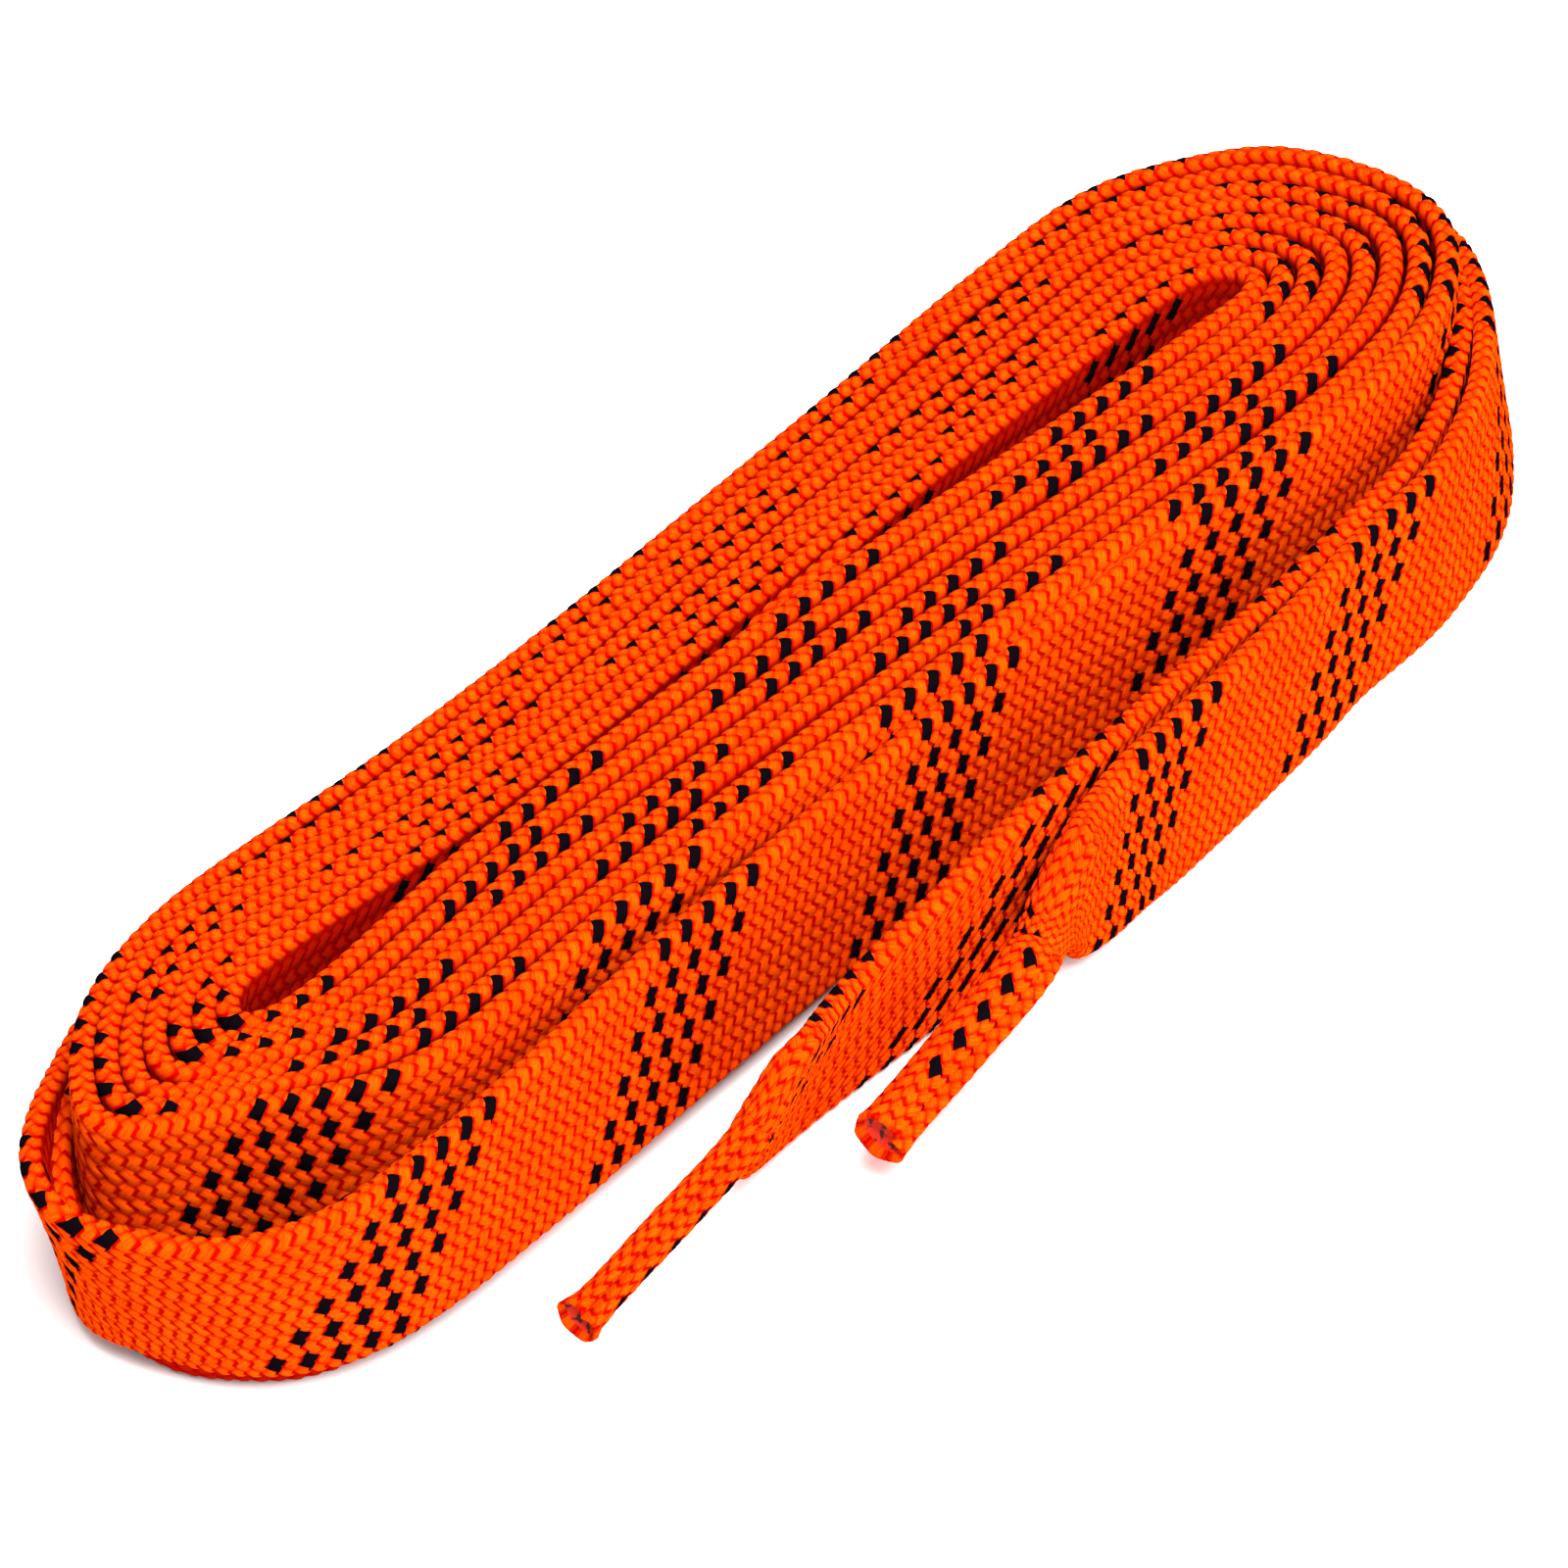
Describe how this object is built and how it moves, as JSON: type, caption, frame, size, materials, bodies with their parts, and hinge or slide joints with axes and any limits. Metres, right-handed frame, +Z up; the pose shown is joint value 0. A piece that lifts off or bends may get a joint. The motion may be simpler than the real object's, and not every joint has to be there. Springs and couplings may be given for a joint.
{
  "type": "wound flat lace",
  "caption": "Flat braided lace wound into a long oval hank standing on edge, with two free tails and two narrow stiff tips.",
  "frame": {"origin": "centre of the bottom of the bounding box, on the surface that the hank stands on", "axes": "+X along the hank to the end away from the tips, -Y is the side of the tails and tips, +Z up along the width of the lace"},
  "size_m": [0.103, 0.035, 0.0159],
  "materials": {
    "lace": "satin polyester braid, bright orange with black tracer stitches",
    "tip": "braid drawn tight and heat-set stiff, hot-cut at its end"
  },
  "bodies": {
    "hank": {"wound_hank": "lace", "crossing_strip": "lace", "outer_turn": "lace", "inner_turn": "lace"},
    "tail_a": {"tail_a": "lace", "neck_a": "lace"},
    "tip_a": {"tip_a": "tip"},
    "tail_b": {"tail_b": "lace", "neck_b": "lace"},
    "tip_b": {"tip_b": "tip"}
  },
  "joints": [
    {"name": "tail_a_swing", "type": "hinge", "parent": "hank", "child": "tail_a", "pos_m": [0.03472, -0.01045, 0.0062], "axis": [0, 0, 1], "range_deg": [0, 30]},
    {"name": "tail_b_swing", "type": "hinge", "parent": "hank", "child": "tail_b", "pos_m": [0.03472, -0.0093, 0.0062], "axis": [0, 0, 1], "range_deg": [-4, 0]},
    {"name": "tip_a_bend", "type": "hinge", "parent": "tail_a", "child": "tip_a", "pos_m": [0.00027, -0.01365, 0.0049], "axis": [0, 0, 1], "range_deg": [0, 45]},
    {"name": "tip_b_bend", "type": "hinge", "parent": "tail_b", "child": "tip_b", "pos_m": [-0.02158, -0.01287, 0.008], "axis": [0, 0, 1], "range_deg": [-6, 45]}
  ]
}
